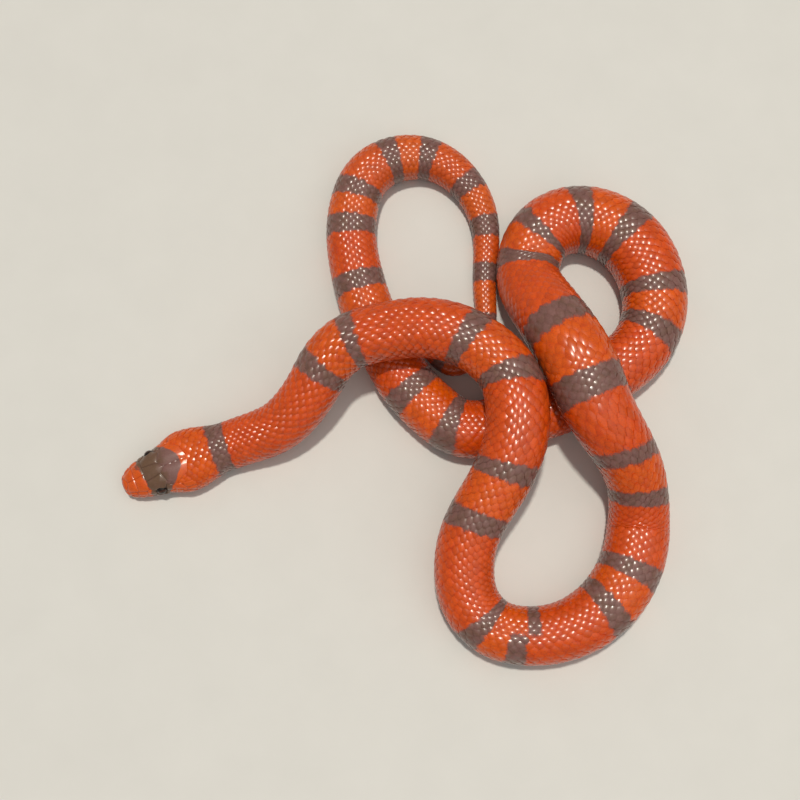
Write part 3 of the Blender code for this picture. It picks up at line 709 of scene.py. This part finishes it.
def joined_tiles(name, shape, distance, share, lift, root_distance, root_share):
    """One piece from many like tiles; the arrays have a row for each tile and a column for each point."""
    along, across, is_foot, is_rim, faces = shape
    count, points = distance.shape
    places = on_body(distance.ravel(), share.ravel(), lift.ravel())
    places[:, 2] = np.maximum(places[:, 2], 0.0)
    corners = np.array(faces)
    first_points = (np.arange(count) * points)[:, None, None]
    all_corners = (corners[None] + first_points).reshape(-1, corners.shape[1])
    mesh = bpy.data.meshes.new(name)
    mesh.from_pydata(places, [], all_corners)
    mesh.shade_smooth()
    ends = np.zeros(len(mesh.edges) * 2, np.int32)
    mesh.edges.foreach_get("vertices", ends)
    sharp = mesh.attributes.new("sharp_edge", "BOOLEAN", "EDGE")
    sharp.data.foreach_set("value", is_rim[ends.reshape(-1, 2) % points].all(axis=1))
    flat = mesh.uv_layers.new(name="OFBake")
    root_share = (root_share + 1) % 2 - 1
    roots = np.array([unwrap(root, side, sheet_of(root)) for root, side in zip(root_distance, root_share)])
    patch = np.stack([along, across], axis=-1) * SCALE_PATCH / 2
    patch[is_foot] *= WALL_PATCH
    at_points = (roots[:, None] + patch[None]).reshape(-1, 2)
    flat.data.foreach_set("uv", at_points[all_corners.ravel()].astype(np.float32).ravel())
    piece = bpy.data.objects.new(name, mesh)
    bpy.context.scene.collection.objects.link(piece)
    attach(piece, "root")
    from_root = ROOT_PIGMENT * np.repeat(root_distance, points)
    mark(mesh, (1 - ROOT_PIGMENT) * distance.ravel() + from_root, share.ravel())
    write_numbers(mesh, "tone", np.repeat(scale_chance.normal(0.5, TONE_SPREAD, count), points))
    return piece


line_pitch = np.interp(line_distance[1:], *zip(*PITCHES))
line_counts = np.concatenate([[0.0], np.cumsum(np.diff(line_distance) / line_pitch)])


def distance_of(count):
    """How far behind the snout a scale of a row is, from its number in the row."""
    return np.interp(count, line_counts, line_distance)


def row_share(distance, row):
    """Where a row lies, as a share of half the girth: rows are close on the back and wider on the sides."""
    part = 2 * row / np.interp(distance, *zip(*ROWS))
    return BACK_SHARE * (EVEN_ROWS * part + (1 - EVEN_ROWS) * part * np.abs(part))


scale_roots = []
first_scale = int(np.interp(SCALES_FROM, line_distance, line_counts))
for number in range(first_scale, int(line_counts[-1]) + 1):
    for row in range(-ROWS_BESIDE_MIDDLE, ROWS_BESIDE_MIDDLE + 1):
        root = float(distance_of(number + 0.5 * (row % 2)))
        if SCALES_FROM < root < SCALES_TO and row_share(root, abs(row)) < BACK_SHARE:
            scale_roots.append((root, row))
scale_roots = np.array(scale_roots)
root_across, root_up = across_and_up(scale_roots[:, 0], row_share(*scale_roots.T))
under_shields = shield_depths(scale_roots[:, 0], root_across, root_up)[0]
scale_roots = scale_roots[under_shields < UNDER_SHIELDS]

scale_shape = tile(SCALE_CELLS, SCALE_CELLS, True)
scale_along, scale_across, scale_foot, _, _ = scale_shape
scale_rise = SCALE_ROOT + (SCALE_TIP - SCALE_ROOT) * ((scale_along + 1) / 2) ** 0.8
scale_rise[scale_foot] = SCALE_SUNK


def crown_rise(height, place, reach):
    """The rise of a scale's crown at each of its points."""
    hump = np.clip(1 - ((scale_along - place) / reach) ** 2, 0.0, 1.0)
    return np.where(scale_foot, 0.0, height * (1 - scale_across ** 2) * hump)


scale_crown = crown_rise(SCALE_CROWN, CROWN_PLACE, CROWN_REACH)
neck_crown = crown_rise(NECK_CROWN, NECK_CROWN_PLACE, NECK_CROWN_REACH)

scale_material = glossy(
    "scale_finish", SCALE_CREASE_SHADE, SCALE_WEAR_TO_METRE, SCALE_ROUGHNESS,
    SCALE_SPECULAR, SCALE_COAT, SCALE_BUMPS,
)

SCALE_PIECES = (
    ("neck_and_front_scales", 0.0, 170.0), ("middle_scales", 170.0, 330.0), ("rear_scales", 330.0, 480.0),
    ("tail_scales", 480.0, 700.0),
)


def thinness(distance):
    """How much thinner the scales and plates are where the tail is thin, as a column."""
    return np.clip(width_at(distance)[0] / THIN_BODY, THINNEST_SCALE, 1.0)[:, None]


# Painted shade on each scale: full on its sunk wall, and rising towards its rim.
rim_share = (np.abs(scale_along) ** 1.5 + np.abs(scale_across) ** 1.5 - RIM_FROM) / (1 - RIM_FROM)
scale_painted_shade = np.where(scale_foot, 1.0, RIM_SHADE * np.clip(rim_share, 0, 1) ** 3)
for name, start, end in SCALE_PIECES:
    roots = scale_roots[(scale_roots[:, 0] >= start) & (scale_roots[:, 0] < end)]
    size = SCALE_HALF_LENGTH * np.interp(roots[:, 0], *zip(*PITCHES))
    distance = roots[:, :1] + scale_along[None] * size[:, None]
    distance = np.clip(distance, 0.0, BODY_LENGTH)
    share = row_share(distance, roots[:, 1:] + scale_across[None] * SCALE_HALF_WIDTH)
    tilts = scale_chance.normal(0.0, TILT_SPREAD, (len(roots), 1)) * scale_along[None]
    tilts = tilts + scale_chance.normal(0.0, ROLL_SPREAD, (len(roots), 1)) * scale_across[None]
    thin = thinness(roots[:, 0])
    on_neck = ramp(roots[:, :1], *NECK_CROWN_BEGINS) * (1 - ramp(roots[:, :1], *NECK_CROWN_ENDS))
    on_neck = on_neck * (1 - ramp(np.abs(roots[:, 1:]), *NECK_CROWN_ROWS))
    crown = scale_crown + (neck_crown - scale_crown) * on_neck
    lift = (scale_rise[None] + crown + tilts) * thin - SCALE_DEPTH * (1 - thin)
    piece = joined_tiles(name, scale_shape, distance, share, lift, roots[:, 0], row_share(*roots.T))
    write_numbers(piece.data, "painted_shade", np.tile(scale_painted_shade, len(roots)))
    piece.data.materials.append(scale_material)

# The belly plates
# One broad plate for each scale of a row, from flank to flank under the body, rooted at its front edge and
# free at its rear. Behind the vent they lie in pairs under the tail, a right and a left one as one looks
# from the snout.
PLATES_FROM, VENT, PLATES_TO = 17.0, 516.0, 610.0
PLATE_LAP, PLATE_HALF_LENGTH, PLATE_CELLS = 0.035, 0.68, (3, 14)
PLATE_ROOT, PLATE_TIP, PLATE_SUNK = -0.34, -0.04, -0.40
PLATE_ENDS_TUCKED, PLATE_ENDS_SWEPT, PLATE_RIM_SHADE = 0.12, 0.18, 0.5
TAIL_PLATE_SHARE, TAIL_PLATE_HALF_SHARE = 0.87, 0.15

plate_shape = tile(*PLATE_CELLS, False)
plate_along, plate_across, plate_foot, _, _ = plate_shape
plate_rise = PLATE_ROOT + (PLATE_TIP - PLATE_ROOT) * ((plate_along + 1) / 2) ** 0.7
plate_rise = plate_rise - PLATE_ENDS_TUCKED * np.abs(plate_across) ** 6
plate_rise[plate_foot] = PLATE_SUNK
# Painted shade on each plate: full on its sunk wall, and darker towards its free rear rim.
plate_painted_shade = np.where(plate_foot, 1.0, PLATE_RIM_SHADE * np.clip(plate_along, 0, 1) ** 4)


def plates(name, roots, centre, half_share, offset=0.0):
    """One piece of plates about a line under the body; the offset is in steps from plate to plate."""
    pitch = np.interp(roots, *zip(*PITCHES))
    swept = PLATE_ENDS_SWEPT * np.abs(plate_across) ** 3
    distance = roots[:, None] + (plate_along - swept)[None] * (PLATE_HALF_LENGTH * pitch)[:, None]
    distance = np.clip(distance + offset * pitch[:, None], 0.0, BODY_LENGTH)
    share = np.tile(centre + half_share * plate_across, (len(roots), 1))
    thin = thinness(roots)
    lift = plate_rise[None] * thin - SCALE_DEPTH * (1 - thin)
    piece = joined_tiles(name, plate_shape, distance, share, lift, roots, np.full(len(roots), centre % 2))
    write_numbers(piece.data, "painted_shade", np.tile(plate_painted_shade, len(roots)))
    piece.data.materials.append(scale_material)


plate_roots = distance_of(np.arange(np.ceil(line_counts[-1])))
body_roots = plate_roots[(plate_roots > PLATES_FROM) & (plate_roots < VENT)]
tail_roots = plate_roots[(plate_roots > VENT) & (plate_roots < PLATES_TO)]
plates("belly_plates", body_roots, 1.0, 1 - BACK_SHARE + PLATE_LAP)
plates("right_tail_plates", tail_roots, TAIL_PLATE_SHARE, TAIL_PLATE_HALF_SHARE)
plates("left_tail_plates", tail_roots, -TAIL_PLATE_SHARE, TAIL_PLATE_HALF_SHARE, 0.5)

# The eyes
# Round and without lids, each set in a shallow socket of the skin: a round black pupil in a dark brown iris,
# all of it very glossy.
EYE_RINGS, EYE_SIDES = 32, 48
PUPIL, PUPIL_EDGE, IRIS, IRIS_EDGE = 0.78, 0.05, 1.25, (0.1, 0.15)
IRIS_DARK, IRIS_LIGHT = (0.03, 0.009, 0.005, 1.0), (0.07, 0.020, 0.008, 1.0)
PUPIL_BLACK, EYE_RIM, EYE_ROUGHNESS = (0.002, 0.002, 0.002, 1.0), (0.01, 0.006, 0.005, 1.0), 0.08
IRIS_FLECKS_TO_METRE = 3000.0

for name, side, node in (("left_eye", 1, "eye_left"), ("right_eye", -1, "eye_right")):
    bm = bmesh.new()
    bmesh.ops.create_uvsphere(bm, u_segments=EYE_SIDES, v_segments=EYE_RINGS, radius=EYE_RADIUS * MM)
    across = side * np.array([EYE_OUT, EYE_OUT + 1])
    places = lay(np.full(2, EYE_BACK), across, np.full(2, EYE_HEIGHT))
    centre = Vector(places[0])
    outward = Vector(places[1]) - centre
    turned = outward.to_track_quat("Z", "Y").to_matrix()
    bmesh.ops.transform(bm, matrix=turned.to_4x4(), verts=bm.verts)
    bmesh.ops.translate(bm, verts=bm.verts, vec=centre)
    eye = finished(bm, name)
    straight_out = outward.normalized()
    out_by = [(vert.co - centre).cross(straight_out).length / MM for vert in eye.data.vertices]
    write_numbers(eye.data, "out", out_by)
    eye_finish = Finish(f"{name}_finish")
    out = eye_finish.number("out")
    flecks = eye_finish.spread(eye_finish.noise(IRIS_FLECKS_TO_METRE), *NOISE_MIDDLE)
    iris = eye_finish.mix(flecks, IRIS_DARK, IRIS_LIGHT)
    past_pupil = eye_finish.spread(out, PUPIL - PUPIL_EDGE, PUPIL + PUPIL_EDGE)
    past_iris = eye_finish.spread(out, IRIS - IRIS_EDGE[0], IRIS + IRIS_EDGE[1])
    colour = eye_finish.mix(past_pupil, PUPIL_BLACK, iris)
    eye_finish.put(eye_finish.shader.inputs["Base Color"], eye_finish.mix(past_iris, colour, EYE_RIM))
    eye_finish.shader.inputs["Roughness"].default_value = EYE_ROUGHNESS
    eye.data.materials.append(eye_finish.material)
    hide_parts(node)

# The floor and the light
# A plain pale floor, a broad soft light overhead, and a small far one that leans back about as much as the
# camera leans forward, which puts a bright point on each scale along the middle of the back.
FLOOR_HALF, FLOOR_DROP, FLOOR_CLOUDS_TO_METRE = 1.5, 0.0002, 60.0
FLOOR_GREYS, FLOOR_ROUGHNESS = ((0.66, 0.66, 0.64, 1.0), (0.71, 0.71, 0.69, 1.0)), 0.7
OVERHEAD_FROM, OVERHEAD_SIZE, OVERHEAD_WATTS = (0.45, -0.20, 1.0), 1.5, 3.5
OVERHEAD_COLOUR, FLASH_COLOUR, ROOM_COLOUR = (1.0, 0.965, 0.90), (1.0, 0.94, 0.83), (1.0, 0.98, 0.94, 1.0)
FLASH_FROM, FLASH_STRENGTH, FLASH_SPREAD = (-0.04, 0.18, 1.0), 1.9, radians(4)
ROOM_STRENGTH = 0.26

bm = bmesh.new()
bmesh.ops.create_grid(bm, x_segments=1, y_segments=1, size=FLOOR_HALF)
bmesh.ops.translate(bm, verts=bm.verts, vec=(0.0, 0.0, -FLOOR_DROP))
floor_mesh = bpy.data.meshes.new("floor")
bm.to_mesh(floor_mesh)
bm.free()
floor = bpy.data.objects.new("floor", floor_mesh)
bpy.context.scene.collection.objects.link(floor)
floor_finish = Finish("floor_finish")
floor_colour = floor_finish.mix(floor_finish.noise(FLOOR_CLOUDS_TO_METRE), *FLOOR_GREYS)
floor_finish.put(floor_finish.shader.inputs["Base Color"], floor_colour)
floor_finish.shader.inputs["Roughness"].default_value = FLOOR_ROUGHNESS
floor.data.materials.append(floor_finish.material)


def shine(name, lamp, place, colour):
    """Hangs a lamp at its place, turned towards the animal."""
    lamp.color = colour
    light = bpy.data.objects.new(name, lamp)
    light.location = place
    light.rotation_euler = (-Vector(place)).to_track_quat("-Z", "Y").to_euler()
    bpy.context.scene.collection.objects.link(light)


overhead = bpy.data.lights.new("overhead_light", "AREA")
overhead.size = OVERHEAD_SIZE
overhead.energy = OVERHEAD_WATTS
shine("overhead_light", overhead, OVERHEAD_FROM, OVERHEAD_COLOUR)
flash = bpy.data.lights.new("far_flash", "SUN")
flash.energy = FLASH_STRENGTH
flash.angle = FLASH_SPREAD
shine("far_flash", flash, FLASH_FROM, FLASH_COLOUR)

world = bpy.data.worlds.new("studio")
world.use_nodes = True
background = world.node_tree.nodes["Background"]
background.inputs["Color"].default_value = ROOM_COLOUR
background.inputs["Strength"].default_value = ROOM_STRENGTH
bpy.context.scene.world = world
bpy.context.scene.view_settings.view_transform = "Standard"
